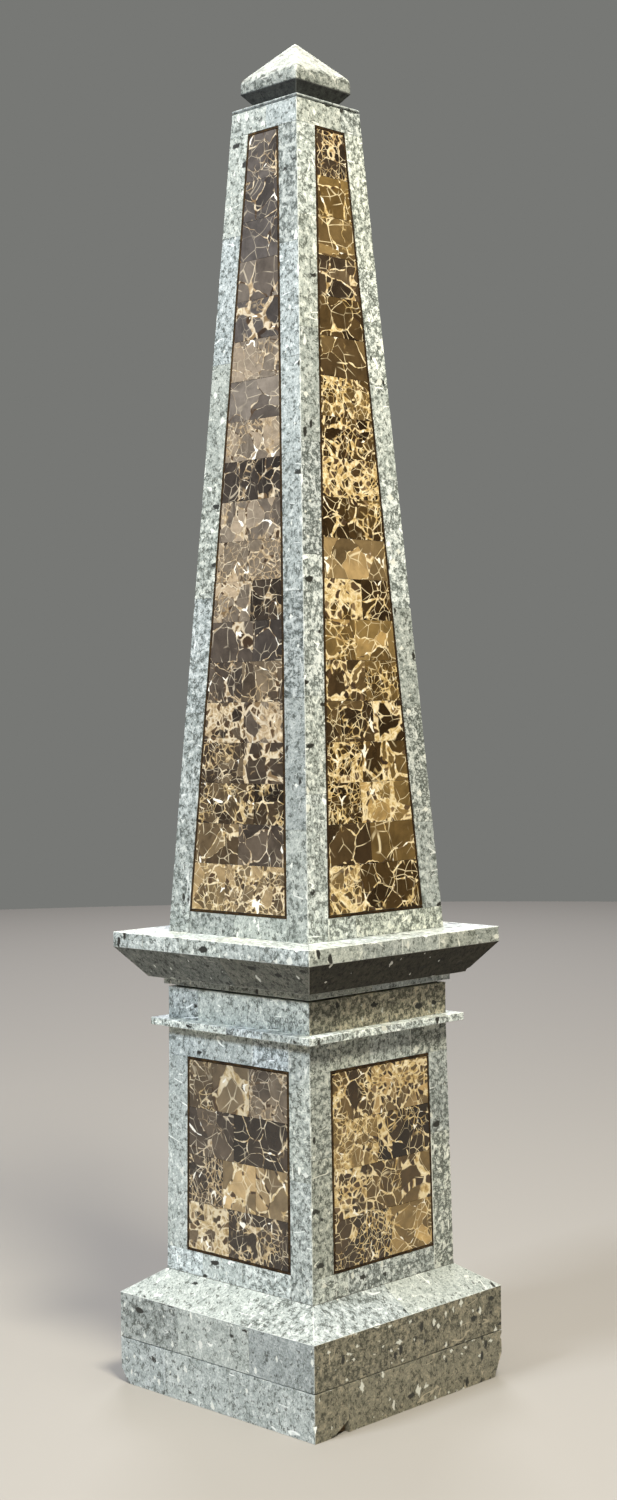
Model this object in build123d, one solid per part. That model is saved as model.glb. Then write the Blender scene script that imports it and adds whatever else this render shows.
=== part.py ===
from build123d import *

import os
from math import atan2, cos, degrees, hypot, sin

# A mantelpiece obelisk, 915 mm tall, of thin stone veneer laid over a plywood carcass.
# Millimetres, +Z up, origin on the floor under the apex, faces square to X and Y.
# Front is -Y, right is +X. Every veneer slab is mitred at the four upright arrises.

# ---- driving dimensions ---------------------------------------------------------------
VENEER = 4.0  # stone facing, measured level
BOARD = 9.0  # plywood of the carcass walls

BASE_BOARD_THICK = 12.0
PLINTH_SIDE = 185.5
PLINTH_LOWER_HIGH = 31.5
PLINTH_UPPER_HIGH = 30.5
SLOPE_HIGH = 16.0

PEDESTAL_FOOT_SIDE = 139.5
PEDESTAL_HEAD_SIDE = 134.7
PEDESTAL_HIGH = 168.0
PEDESTAL_STILE_FOOT = 19.9
PEDESTAL_STILE_HEAD = 19.1
PEDESTAL_RAIL_LOW = 15.8
PEDESTAL_RAIL_TOP = 20.2

LEDGE_OVERHANG = 8.7
LEDGE_THICK = 5.0
FRIEZE_HIGH = 21.2
FILLET_GAP = 1.8  # open joint over the frieze, down to the carcass
FILLET_OVERHANG = 2.2
FILLET_THICK = 5.0

SOFFIT_STEP = 7.5  # level underside between the fillet and the foot of the soffit
SOFFIT_HIGH = 20.7
SOFFIT_FLARE = 16.7  # how far each side leans out over that height
CORNICE_THICK = 10.3

SHAFT_FOOT_SIDE = 133.5
SHAFT_HEAD_SIDE = 61.5
SHAFT_HIGH = 556.0
SHAFT_STILE_FOOT = 19.2
SHAFT_STILE_HEAD = 17.3
SHAFT_RAIL_LOW = 14.5
SHAFT_RAIL_TOP = 16.0
SHAFT_HEAD_BLOCK = 16.0  # solid top of the shaft's carcass
TOP_PLATE_THICK = 2.6

BRASS_LINE = 2.0  # width of the inlaid strip round each panel

CAP_SIDE = 53.7
CAP_FOOT_SIDE = 35.0
CAP_FOOT_HIGH = 11.2
CAP_BAND_HIGH = 8.8
CAP_PYRAMID_HIGH = 26.4
CAP_TIP_FLAT = 1.5  # the tip is worn to a small flat
CAP_WORN_RADIUS = 1.6  # and the arrises are worn round

# Breakages: two corners knocked off the plinth's foot, and a notch in the right-hand slab.
BREAK_LEG = 2 * VENEER  # keeps the break inside the veneer
LEFT_BREAK_HIGH = 10.0
RIGHT_BREAK_HIGH = 16.0
NOTCH_NEAR = 17.0  # from the front right arris
NOTCH_FAR = 31.0
NOTCH_HIGH = 8.0

# ---- levels, from the ground up -------------------------------------------------------
PLINTH_JOINT = PLINTH_LOWER_HIGH
SLOPE_FOOT = PLINTH_JOINT + PLINTH_UPPER_HIGH
PEDESTAL_FOOT = SLOPE_FOOT + SLOPE_HIGH
LEDGE_FOOT = PEDESTAL_FOOT + PEDESTAL_HIGH
FRIEZE_FOOT = LEDGE_FOOT + LEDGE_THICK
FRIEZE_HEAD = FRIEZE_FOOT + FRIEZE_HIGH
FILLET_FOOT = FRIEZE_HEAD + FILLET_GAP
SOFFIT_FOOT = FILLET_FOOT + FILLET_THICK
CORNICE_FOOT = SOFFIT_FOOT + SOFFIT_HIGH
SHAFT_FOOT = CORNICE_FOOT + CORNICE_THICK
SHAFT_HEAD = SHAFT_FOOT + SHAFT_HIGH
CAP_FOOT = SHAFT_HEAD + TOP_PLATE_THICK
CAP_BAND_FOOT = CAP_FOOT + CAP_FOOT_HIGH
CAP_EAVES = CAP_BAND_FOOT + CAP_BAND_HIGH
CAP_TIP = CAP_EAVES + CAP_PYRAMID_HIGH

FILLET_SIDE = PEDESTAL_HEAD_SIDE + 2 * FILLET_OVERHANG
SOFFIT_FOOT_SIDE = FILLET_SIDE + 2 * SOFFIT_STEP
CORNICE_SIDE = SOFFIT_FOOT_SIDE + 2 * SOFFIT_FLARE

FACES = {"front": 0, "right": 90, "back": 180, "left": 270}  # turn about Z from the front


# ---- shapes that the sub-parts share --------------------------------------------------
def prism(side, low, high):
    """A square block standing between two levels."""
    return Pos(0, 0, low) * extrude(Rectangle(side, side), amount=high - low)


def frustum(side_low, side_high, low, high):
    """A square block whose four sides lean from one width to another."""
    lean = degrees(atan2((side_low - side_high) / 2, high - low))
    return Pos(0, 0, low) * extrude(Rectangle(side_low, side_low), amount=high - low, taper=lean)


def front_quarter(shape):
    """The share of a square ring that belongs to its front face, mitred at both ends."""
    box = shape.bounding_box()
    reach = box.max.X + BOARD
    wedge = Polygon((0, 0), (-reach, -reach), (reach, -reach), align=None)
    return shape & Pos(0, 0, box.min.Z) * extrude(wedge, amount=box.size.Z)


def to_face(shape, face):
    """Turns a piece made for the front onto another face."""
    return Rot(0, 0, FACES[face]) * shape


def four_slabs(name, ring):
    """One mitred slab for each face of a square ring."""
    slab = front_quarter(ring)
    return {f"{name}_{face}": to_face(slab, face) for face in FACES}


# ---- plinth ---------------------------------------------------------------------------
def corner_break(x_sign, y_sign, high):
    """The chip that left a corner of the plinth's foot."""
    corner = PLINTH_SIDE / 2
    past = 1.0
    leg = BREAK_LEG + past
    x, y = x_sign * (corner + past), y_sign * (corner + past)
    foot = Polygon((x, y), (x - x_sign * 2 * leg, y), (x, y - y_sign * 2 * leg), align=None)
    grow = (2 * leg) / (BREAK_LEG + 2 * past)
    tip = Vertex(x, y, high * grow)
    return loft([foot.face(), tip])


def foot_notch():
    """The missing corner of a tile at the foot of the right-hand slab."""
    near = -PLINTH_SIDE / 2 + NOTCH_NEAR
    far = -PLINTH_SIDE / 2 + NOTCH_FAR
    outline = Plane.YZ * Polygon((near, 0), (far, 0), (far, NOTCH_HIGH), align=None)
    return Pos(PLINTH_SIDE / 2 - VENEER, 0, 0) * extrude(outline, amount=VENEER)


def slope_core():
    """The bevelled top board: level shoulder for the pedestal, slopes under the veneer."""
    run = (PLINTH_SIDE - PEDESTAL_FOOT_SIDE) / 2
    pitch = atan2(SLOPE_HIGH, run)
    shoulder = PEDESTAL_FOOT - VENEER / cos(pitch)
    bevel = frustum(PLINTH_SIDE - 2 * VENEER / sin(pitch), PEDESTAL_FOOT_SIDE, SLOPE_FOOT, shoulder)
    return bevel + prism(PEDESTAL_FOOT_SIDE, shoulder, PEDESTAL_FOOT)


def plinth():
    core_side = PLINTH_SIDE - 2 * VENEER
    walls = prism(core_side, BASE_BOARD_THICK, SLOPE_FOOT)
    walls -= prism(core_side - 2 * BOARD, BASE_BOARD_THICK, SLOPE_FOOT)
    nodes = {
        "base_board": prism(core_side, 0, BASE_BOARD_THICK),
        "plinth_box": walls + slope_core(),
    }
    lower = prism(PLINTH_SIDE, 0, PLINTH_JOINT) - prism(core_side, 0, PLINTH_JOINT)
    upper = prism(PLINTH_SIDE, PLINTH_JOINT, SLOPE_FOOT) - prism(core_side, PLINTH_JOINT, SLOPE_FOOT)
    slope = frustum(PLINTH_SIDE, PEDESTAL_FOOT_SIDE, SLOPE_FOOT, PEDESTAL_FOOT) - slope_core()
    nodes |= four_slabs("plinth_lower", lower)
    nodes |= four_slabs("plinth_upper", upper)
    nodes |= four_slabs("plinth_slope", slope)
    left_break = corner_break(-1, -1, LEFT_BREAK_HIGH)
    right_break = corner_break(1, 1, RIGHT_BREAK_HIGH)
    nodes["plinth_lower_front"] -= left_break
    nodes["plinth_lower_left"] -= left_break
    nodes["plinth_lower_right"] -= right_break + foot_notch()
    nodes["plinth_lower_back"] -= right_break
    return nodes


# ---- inlaid faces of the pedestal and the shaft ----------------------------------------
def panel_outline(plane, face_high, side_low, side_high, stiles, rails, inset):
    """The panel's outline on a leaning face, drawn in by inset on every edge."""

    def half_width(level, stile):
        side = side_low + (side_high - side_low) * level / face_high
        return side / 2 - stile - inset

    low, top = rails[0] + inset, face_high - rails[1] - inset
    wide, narrow = half_width(low, stiles[0]), half_width(top, stiles[1])
    corners = (-wide, low), (wide, low), (narrow, top), (-narrow, top)
    return plane * Polygon(*corners, align=None)


def inlaid_face(side_low, side_high, low, high, stiles, rails):
    """A front face in three flush pieces: stone frame, brass line and marble panel."""
    ring = frustum(side_low, side_high, low, high)
    ring -= frustum(side_low - 2 * VENEER, side_high - 2 * VENEER, low, high)
    slab = front_quarter(ring)
    run = (side_low - side_high) / 2
    face_high = hypot(high - low, run)
    plane = Plane(origin=(0, -side_low / 2, low), x_dir=(1, 0, 0), z_dir=(0, low - high, run))

    def through(inset):
        outline = panel_outline(plane, face_high, side_low, side_high, stiles, rails, inset)
        return extrude(outline, amount=2 * VENEER, both=True)

    opening, field = through(0), through(BRASS_LINE)
    return {"frame": slab - opening, "brass": slab & (opening - field), "inlay": slab & field}


def four_inlaid_faces(name, pieces):
    """Frame and inlay as a node a face, and the four brass lines as one node."""
    nodes = {}
    for face in FACES:
        nodes[f"{name}_frame_{face}"] = to_face(pieces["frame"], face)
        nodes[f"{name}_inlay_{face}"] = to_face(pieces["inlay"], face)
    lines = [to_face(pieces["brass"], face).solid() for face in FACES]
    nodes[f"{name}_brass_lines"] = Compound(children=lines)
    return nodes


def pedestal():
    foot, head = PEDESTAL_FOOT_SIDE - 2 * VENEER, PEDESTAL_HEAD_SIDE - 2 * VENEER
    box = frustum(foot, head, PEDESTAL_FOOT, LEDGE_FOOT) + prism(head, LEDGE_FOOT, SOFFIT_FOOT)
    box -= frustum(foot - 2 * BOARD, head - 2 * BOARD, PEDESTAL_FOOT, LEDGE_FOOT)
    box -= prism(head - 2 * BOARD, LEDGE_FOOT, SOFFIT_FOOT)
    pieces = inlaid_face(
        PEDESTAL_FOOT_SIDE,
        PEDESTAL_HEAD_SIDE,
        PEDESTAL_FOOT,
        LEDGE_FOOT,
        (PEDESTAL_STILE_FOOT, PEDESTAL_STILE_HEAD),
        (PEDESTAL_RAIL_LOW, PEDESTAL_RAIL_TOP),
    )
    ledge_side = PEDESTAL_HEAD_SIDE + 2 * LEDGE_OVERHANG
    frieze = prism(PEDESTAL_HEAD_SIDE, FRIEZE_FOOT, FRIEZE_HEAD)
    nodes = {
        "pedestal_box": box,
        "ledge": prism(ledge_side, LEDGE_FOOT, FRIEZE_FOOT) - prism(head, LEDGE_FOOT, FRIEZE_FOOT),
        "frieze": frieze - prism(head, FRIEZE_FOOT, FRIEZE_HEAD),
        "fillet": prism(FILLET_SIDE, FILLET_FOOT, SOFFIT_FOOT) - prism(head, FILLET_FOOT, SOFFIT_FOOT),
    }
    return nodes | four_inlaid_faces("pedestal", pieces)


# ---- cornice --------------------------------------------------------------------------
def cornice():
    level_veneer = VENEER / cos(atan2(SOFFIT_FLARE, SOFFIT_HIGH))
    foot, head = SOFFIT_FOOT_SIDE - 2 * level_veneer, CORNICE_SIDE - 2 * level_veneer
    flare = frustum(foot, head, SOFFIT_FOOT, CORNICE_FOOT)
    board = prism(CORNICE_SIDE - 2 * VENEER, CORNICE_FOOT, SHAFT_FOOT - VENEER)
    return {
        "cornice_block": flare + board,
        "cornice_soffit": frustum(SOFFIT_FOOT_SIDE, CORNICE_SIDE, SOFFIT_FOOT, CORNICE_FOOT) - flare,
        "cornice_slab": prism(CORNICE_SIDE, CORNICE_FOOT, SHAFT_FOOT) - board,
    }


# ---- shaft and cap --------------------------------------------------------------------
def shaft():
    pieces = inlaid_face(
        SHAFT_FOOT_SIDE,
        SHAFT_HEAD_SIDE,
        SHAFT_FOOT,
        SHAFT_HEAD,
        (SHAFT_STILE_FOOT, SHAFT_STILE_HEAD),
        (SHAFT_RAIL_LOW, SHAFT_RAIL_TOP),
    )
    foot, head = SHAFT_FOOT_SIDE - 2 * VENEER, SHAFT_HEAD_SIDE - 2 * VENEER
    box = frustum(foot, head, SHAFT_FOOT, SHAFT_HEAD)
    hollow = frustum(foot - 2 * BOARD, head - 2 * BOARD, SHAFT_FOOT, SHAFT_HEAD)
    hollow -= prism(foot, SHAFT_HEAD - SHAFT_HEAD_BLOCK, SHAFT_HEAD)
    nodes = {
        "shaft_box": box - hollow,
        "shaft_top_plate": prism(SHAFT_HEAD_SIDE, SHAFT_HEAD, CAP_FOOT),
    }
    return nodes | four_inlaid_faces("shaft", pieces)


def cap():
    block = prism(CAP_SIDE, CAP_BAND_FOOT, CAP_EAVES)
    block += frustum(CAP_SIDE, CAP_TIP_FLAT, CAP_EAVES, CAP_TIP)
    arrises = [edge for edge in block.edges() if edge.center().Z > CAP_BAND_FOOT and edge.length > CAP_TIP_FLAT]
    return {
        "cap_foot": frustum(CAP_FOOT_SIDE, CAP_SIDE, CAP_FOOT, CAP_BAND_FOOT),
        "cap_pyramid": fillet(arrises, CAP_WORN_RADIUS),
    }


nodes = plinth() | pedestal() | cornice() | shaft() | cap()
os.makedirs("parts", exist_ok=True)
for name, shape in nodes.items():
    export_step(shape, f"parts/{name}.step")
print(len(nodes), "nodes,", round(CAP_TIP, 1), "mm tall,", round(CORNICE_SIDE, 1), "mm across the cornice")
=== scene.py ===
"""A table obelisk faced with small sawn tiles: grey fossil stone, brown marble and brass lines.

Every tile is a closed form of its own, laid where the frame has its slab. A tile carries where in
the quarry block it was cut, so no two tiles show the same stretch of stone.
"""

import math
import random
from functools import partial
from typing import NamedTuple

import bpy
from mathutils import Matrix, Vector, noise


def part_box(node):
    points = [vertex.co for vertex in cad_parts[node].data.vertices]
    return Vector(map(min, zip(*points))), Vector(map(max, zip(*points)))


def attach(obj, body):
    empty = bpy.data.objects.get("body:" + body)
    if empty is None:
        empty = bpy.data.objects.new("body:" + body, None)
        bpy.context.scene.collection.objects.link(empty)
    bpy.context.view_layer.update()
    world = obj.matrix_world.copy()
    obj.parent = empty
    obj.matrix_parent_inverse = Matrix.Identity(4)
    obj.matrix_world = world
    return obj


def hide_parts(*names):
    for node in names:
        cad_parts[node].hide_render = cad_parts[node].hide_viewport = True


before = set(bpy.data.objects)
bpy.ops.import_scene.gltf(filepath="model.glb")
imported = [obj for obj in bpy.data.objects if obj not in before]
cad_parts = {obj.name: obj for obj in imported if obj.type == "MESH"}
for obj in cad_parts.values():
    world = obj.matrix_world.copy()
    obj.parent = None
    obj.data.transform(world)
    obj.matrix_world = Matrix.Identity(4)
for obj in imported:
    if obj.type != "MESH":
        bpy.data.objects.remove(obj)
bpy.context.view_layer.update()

MM = 0.001
FACES = ("front", "right", "back", "left")  # each a quarter turn on from the last
NEAR = 0.02 * MM  # places closer than this are one

# ---- joints, in metres ----
JOINT = 0.16 * MM  # hairline joint between neighbours
OPEN_JOINT = 1.0 * MM  # where the adhesive has let go
COURSE_JOINT = 0.55 * MM  # between the two courses of the plinth
LINE_JOINT = 0.5 * MM  # dark cement on both sides of a brass strip
FILLED_WIDTH = 0.55 * MM  # of a joint that chipped and was filled white, on each side
FILLED_WHOLE = 0.6  # share of that width where no chip widens it
FILLED_CHIPPED = 0.8  # and what a full chip adds
BACK_CLEARANCE = 0.05 * MM  # between a tile's back and the board that carries it
LIPPAGE = 0.07 * MM  # the most that a tile sits below its neighbours

# ---- worn edges ----
EDGE_STEP = 2.2 * MM  # spacing of the points that give an edge its nicks
ARRIS_WEAR = 0.3 * MM  # rubbed width of an outer corner
JOINT_WEAR = 0.08 * MM  # and of a sawn edge within a face
BEVEL_SHARE = 0.7  # depth of a worn edge as a share of its width
CHIP_DEPTH = 1.5 * MM  # extra width where the edge has chipped
THIN_CHIP_DEPTH = 0.6 * MM  # the same on the edges of the thin mouldings
JOINT_CHIPS = 0.35  # size of the chips in a joint, next to those on an arris
CHIP_LENGTH = 5.0 * MM  # length of a run of chips along an edge
NICK_FINENESS = 3.1  # how many times finer the small nicks are
NICK_SHARE = 0.6  # and how strong
CHIP_FROM = 0.25  # level of the run at which the first chip shows
CHIP_RISE = 1.6
BREAK_STEP = EDGE_STEP / 3
BREAK_WEAR = 0.6 * ARRIS_WEAR
BREAK_ROUGH = 0.7 * MM  # how far a broken edge wanders
BREAK_GRAIN = 1 * MM
BREAK_EASE = 8  # it wanders less in the first eighth of its length

# How chalky a rubbed place is, from 0 to 1.
ARRIS_CHALK = 0.4
CHIP_CHALK = 0.5  # more, where it is chipped
BREAK_CHALK = 0.2
SAWN_CHALK = 0.15
FILLING_CHALK = 1.0

# ---- how one tile differs from the next ----
LOT = 6  # the delivery of tiles, which settles how each one happens to look
BLOCK = 900.0  # millimetres of quarry block that the tiles are cut from
TURNS = (0, 0, math.pi / 2)  # two tiles in three are cut along the bedding, and one across
GRAIN_SWING = 0.12  # radians that a tile is cut off the bedding
DARK_SLIPS = 0.16  # share of the grey slips that come from a darker bed
DARK_TONE = 0.8
SLIP_TONES = (0.92, 1.06)  # range of tone of the others
GREENEST = 0.7  # the tint of a grey slip runs from bluish, 0, to this
SHELLY_SWING = 0.2
BUSY_SWING = 0.25
GOLDEN_SWING = 0.2
COUNT_SWING = 0.3  # of the number of tiles in a row
ROW_SHIFT = 0.28  # of all joints of a row, as a share of a tile
CUT_SWING = 0.12  # of each joint

# ---- lengths of the tiles ----
PLINTH_TILE = 78 * MM
SLOPE_TILE = 84 * MM
STILE_TILE = 78 * MM
RAIL_TILE = 38 * MM
PANEL_TILE = 38 * MM
LEDGE_TILE = 36 * MM
FRIEZE_TILE = 48 * MM
FILLET_TILE = 70 * MM
SOFFIT_TILE = 70 * MM
CORNICE_TILE = 40 * MM
PANEL_ROWS = {"shaft": (19, 1.16), "pedestal": (4, 1)}  # the end rows of the shaft are taller


class Bed(NamedTuple):
    """The bed of the quarry that grey slips come from; the darkest beds also carry painted shade."""

    shelly: float = 0.5  # how full of shells and pits, from 0 to 2
    busy: float = 0.5  # how much its fragments and worm tracks show, from 0 to 1
    tone: float = 1.0
    brown: float = 0.0  # from grey, 0, to brown, 1
    filled: float = 0.0  # share of the upright joints that chipped and were filled white


PLINTH_BED = Bed(shelly=1.0, busy=0.32, tone=0.95)
# Painted shade: the right face of the plinth is darker and browner than its stone.
PLINTH_PAINTED_SHADE_BED = Bed(shelly=2.0, busy=0.6, tone=0.495, brown=0.95)
SLOPE_BED = Bed(shelly=0.6, busy=0.35, tone=0.88)
MOULDING_BED = Bed(shelly=0.8, busy=0.5, filled=0.35)
LEDGE_BED = Bed(shelly=0.8, busy=0.6, tone=1.45, filled=0.35)
FRIEZE_BED = Bed(shelly=0.5, busy=0.4, tone=1.12)
# Painted shade: the frieze's right face, under the cornice, is darker and browner.
FRIEZE_PAINTED_SHADE_BED = Bed(shelly=1.2, busy=0.7, tone=0.88, brown=0.9)
# Painted shade: the soffits under the cornice are darkened, the right one most.
SOFFIT_PAINTED_SHADE_BED = Bed(shelly=0.4, busy=0.3, tone=0.34, brown=0.7)
RIGHT_SOFFIT_PAINTED_SHADE_BED = Bed(shelly=0.4, busy=0.3, tone=0.09, brown=1.0)
CAP_BED = Bed(shelly=0.9, busy=0.75, tone=0.54, brown=0.35)
# The cap's foot, under the cap, is near black: a darker stone, darkened further as painted shade.
CAP_FOOT_STONE_AND_SHADE_BED = Bed(shelly=0.3, busy=0.3, tone=0.06, brown=0.3)
FRAME_BEDS = {
    "shaft": {
        "front": Bed(shelly=0.35, busy=0.48, tone=0.85),
        "right": Bed(shelly=0.6, busy=0.66, tone=1.07, filled=0.1),
        "back": Bed(shelly=0.4, busy=0.5, filled=0.1),
        "left": Bed(shelly=0.5, busy=0.7),
    },
    "pedestal": {
        "front": Bed(shelly=0.5, busy=0.5, tone=1.2, filled=0.3),
        "right": Bed(shelly=0.6, busy=0.75, tone=1.06, filled=0.2),
        "back": Bed(shelly=0.7, busy=0.6, filled=0.2),
        "left": Bed(shelly=0.4, busy=0.4, filled=0.3),
    },
}

# How golden the marble is, from rosy grey, 0, to golden, 1: at the foot and the head of the shaft.
GOLDEN = {"front": (0.66, -0.1), "right": (1.1, 0.85), "back": (0.6, 0.3), "left": (0.8, 0.5)}


# ---- the square courses that the tiles are laid on ----
class Course:
    """Four like faces between two levels. u runs along a face, v climbs it, depth goes in.

    Depth goes in level, or "down" on a face that lies flatter.
    """

    def __init__(self, foot, head, low, high, goes_in="level"):
        self.foot, self.head, self.low, self.high = foot, head, low, high
        self.goes_in = goes_in
        self.rise = math.hypot(high - low, head - foot)

    def half(self, v):
        """Half the width of the face, v up from its foot."""
        return self.foot + (self.head - self.foot) * v / self.rise

    def place(self, u, v, depth, quarter):
        """The point of the frame at u, v and depth on one of the four faces."""
        out = self.half(v)
        level = self.low + (self.high - self.low) * v / self.rise
        if self.goes_in == "level":
            out -= depth
        else:
            level = max(level - depth, min(self.low, self.high - depth))
        point = Vector((max(-out, min(out, u)), -out, level))
        for _ in range(quarter):
            point = Vector((-point.y, point.x, point.z))
        return point

    def arris(self, sign):
        """The line of the face's left (-1) or right (1) end."""
        return lambda v: sign * self.half(v)


def seam(place):
    """An upright joint."""
    return lambda v: place


def levels(node):
    """The lowest and highest level of a CAD node."""
    low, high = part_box(node)
    return low.z, high.z


def half_width(node, level):
    """Half the width of a CAD node at one level."""
    points = [p.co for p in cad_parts[node].data.vertices]
    return max(abs(p.x) for p in points if abs(p.z - level) < NEAR)


class Panel:
    """The outline of a panel or its brass line on the front face of a course."""

    def __init__(self, node, course):
        climb = (course.high - course.low) / course.rise
        on_face = []
        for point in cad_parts[node].data.vertices:
            v = (point.co.z - course.low) / climb
            if abs(-point.co.y - course.half(v)) < NEAR:
                on_face.append((abs(point.co.x), v))
        self.low = min(v for _, v in on_face)
        self.high = max(v for _, v in on_face)
        self.foot = max(u for u, v in on_face if v < self.low + NEAR)
        self.head = max(u for u, v in on_face if v > self.high - NEAR)

    def edge(self, sign):
        """The line of the panel's left (-1) or right (1) edge, also past its ends."""
        lean = (self.head - self.foot) / (self.high - self.low)
        return lambda v: sign * (self.foot + lean * (v - self.low))


# ---- tiles ----
def swing(rng, most):
    """A little more or less."""
    return rng.uniform(-most, most)


def wear_at(point):
    """How chipped the edge is at a place, from 0 to 1, in short runs."""
    nicks = noise.noise(point * NICK_FINENESS / CHIP_LENGTH)
    run = noise.noise(point / CHIP_LENGTH) + NICK_SHARE * nicks
    return max(0.0, min(1.0, (run - CHIP_FROM) * CHIP_RISE))


def inset(corners, gaps):
    """The corners with each edge moved in by its gap."""
    count = len(corners)
    edges = []
    for i in range(count):
        along = (corners[(i + 1) % count] - corners[i]).normalized()
        inward = Vector((-along.y, along.x))
        edges.append((corners[i] + inward * gaps[i], along))
    moved = []
    for i in range(count):
        (before, came), (after, goes) = edges[i - 1], edges[i]
        cross = came.x * goes.y - came.y * goes.x
        reach = ((after - before).x * goes.y - (after - before).y * goes.x) / cross
        moved.append(before + came * reach)
    return moved


def spread(start, end, step):
    """Points from start to end, about a step apart, leaving out the end."""
    count = max(1, round((end - start).length / step))
    return [start.lerp(end, i / count) for i in range(count)]


def put(name, data):
    """Puts a new object in the scene."""
    thing = bpy.data.objects.new(name, data)
    bpy.context.scene.collection.objects.link(thing)
    return thing


class Tiles:
    """One piece, in place of a CAD node: its tiles, with what their finish reads from them."""

    def __init__(self, node, bed=None, name=None):
        self.node = node
        self.name = name or f"{node}_tiles"
        self.bed = bed  # of the grey stone; None for marble and brass
        self.golden = 0.5  # of the marble, row by row
        self.chips = CHIP_DEPTH
        self.rng = random.Random(f"{self.name} {LOT}")
        self.points, self.faces = [], []
        self.cut, self.kind, self.busy, self.worn = [], [], [], []

    def lay(self, course, face, depth, v, ends, edges, gaps=None, knocks=None):
        """Lays one tile: between two heights v and two end lines.

        edges says what its foot, right, head and left edges are: "a" an arris, "j" a joint.
        knocks gives broken corners: (along the edge before, along the edge after, right through).
        """
        (low, high), (left, right) = v, ends
        turns = (left, low), (right, low), (right, high), (left, high)
        corners = [Vector((side(level), level)) for side, level in turns]
        half_joint = [0.0 if edge == "a" else JOINT / 2 for edge in edges]
        corners = inset(corners, gaps or half_joint)
        rim = self.rim(corners, edges, knocks or {})
        self.close(course, FACES.index(face), depth, rim)

    def rim(self, corners, edges, knocks):
        """Points round a tile: (front place, inward, back place, edge's kind)."""
        count = len(corners)
        runs = []
        for i in range(count):
            start, end = corners[i], corners[(i + 1) % count]
            along = (end - start).normalized()
            before, after = knocks.get(i), knocks.get((i + 1) % count)
            first = start + along * before[1] if before else start
            last = end - along * after[0] if after else end
            if before:
                came = (start - corners[i - 1]).normalized()
                runs.append((start - came * before[0], first, start, "b", before[2]))
            runs.append((first, last, None, edges[i] + str(i), False))
        rim = []
        for start, end, corner, kind, through in runs:
            along = (end - start).normalized()
            inward = Vector((-along.y, along.x))
            step = BREAK_STEP if kind == "b" else EDGE_STEP
            for place in spread(start, end, step):
                back = place
                if kind == "b":
                    share = (place - start).length / (end - start).length
                    rough = noise.noise(place.to_3d() / BREAK_GRAIN) * BREAK_ROUGH
                    place = place + inward * rough * min(1, share * BREAK_EASE)
                    whole = (start.lerp(corner, share * 2), corner.lerp(end, share * 2 - 1))
                    back = place if through else whole[share > 0.5]
                rim.append((place, inward, back, kind))
        return rim

    def edge_wear(self, edge, chipped, filled):
        """How wide an edge is rubbed at one place, and how chalky."""
        if edge == "b":
            return BREAK_WEAR, BREAK_CHALK
        style, side = edge
        if style == "a":
            return ARRIS_WEAR + self.chips * chipped**2, ARRIS_CHALK + CHIP_CHALK * chipped
        if filled[int(side)] and side in "13":
            return FILLED_WIDTH * (FILLED_WHOLE + FILLED_CHIPPED * chipped), FILLING_CHALK
        return JOINT_WEAR + JOINT_CHIPS * self.chips * chipped**2, CHIP_CHALK * chipped

    def close(self, course, quarter, depth, rim):
        """Closes the tile over its rim: a front, a worn edge, sides and a back."""
        count = len(rim)
        rng = self.rng
        lip = rng.uniform(0, LIPPAGE)
        turn = rng.choice(TURNS) + rng.gauss(0, GRAIN_SWING)
        block = Vector([rng.uniform(0, BLOCK) for _ in range(3)])
        grain = Matrix.Rotation(turn, 3, "Z")
        kind, busy = self.own_kind()
        filled = [self.bed is not None and rng.random() < self.bed.filled for _ in range(4)]
        rings, rub = ([], [], []), []
        for i, (place, inward, back, edge) in enumerate(rim):
            bisector = (inward + rim[i - 1][1]).normalized()
            chipped = wear_at(course.place(place.x, place.y, 0, quarter))
            width, paleness = self.edge_wear(edge, chipped, filled)
            rub.append(paleness)
            rings[0].append((place + bisector * width, lip))
            rings[1].append((place, lip + width * BEVEL_SHARE))
            rings[2].append((back, depth - BACK_CLEARANCE))
        front = len(self.points)
        mid, rear = front + count, front + 2 * count
        for ring in rings:
            for place, deep in ring:
                self.points.append(course.place(place.x, place.y, deep, quarter))
                local = Vector((place.x, place.y, -deep)) / MM
                self.cut.append(grain @ local + block)
                self.kind.append(kind)
                self.busy.append(busy)
        self.add_face(range(front, front + count), 0.0)
        for i in range(count):
            j = (i + 1) % count
            self.add_face((mid + i, mid + j, front + j, front + i), rub[i])
            self.add_face((rear + i, rear + j, mid + j, mid + i), SAWN_CHALK)
        self.add_face(range(rear + count - 1, rear - 1, -1), 0.0)

    def own_kind(self):
        """What makes one tile unlike the next: three measures of its kind, and how busy it is.

        Grey stone has its tone, its tint and how shelly it is. Marble has how dark its clasts
        are, how rich in matrix it is, and how golden.
        """
        bed, rng = self.bed, self.rng
        if bed is None:
            golden = self.golden + swing(rng, GOLDEN_SWING)
            return [rng.random(), rng.random(), golden], rng.random()
        tone = bed.tone * (DARK_TONE if rng.random() < DARK_SLIPS else rng.uniform(*SLIP_TONES))
        tint = GREENEST * rng.random() * (1 - bed.brown) + bed.brown
        shelly = bed.shelly + swing(rng, SHELLY_SWING)
        return [tone, tint, shelly], bed.busy + swing(rng, BUSY_SWING)

    def add_face(self, corners, worn):
        self.faces.append(tuple(corners))
        self.worn.append(worn)

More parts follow.
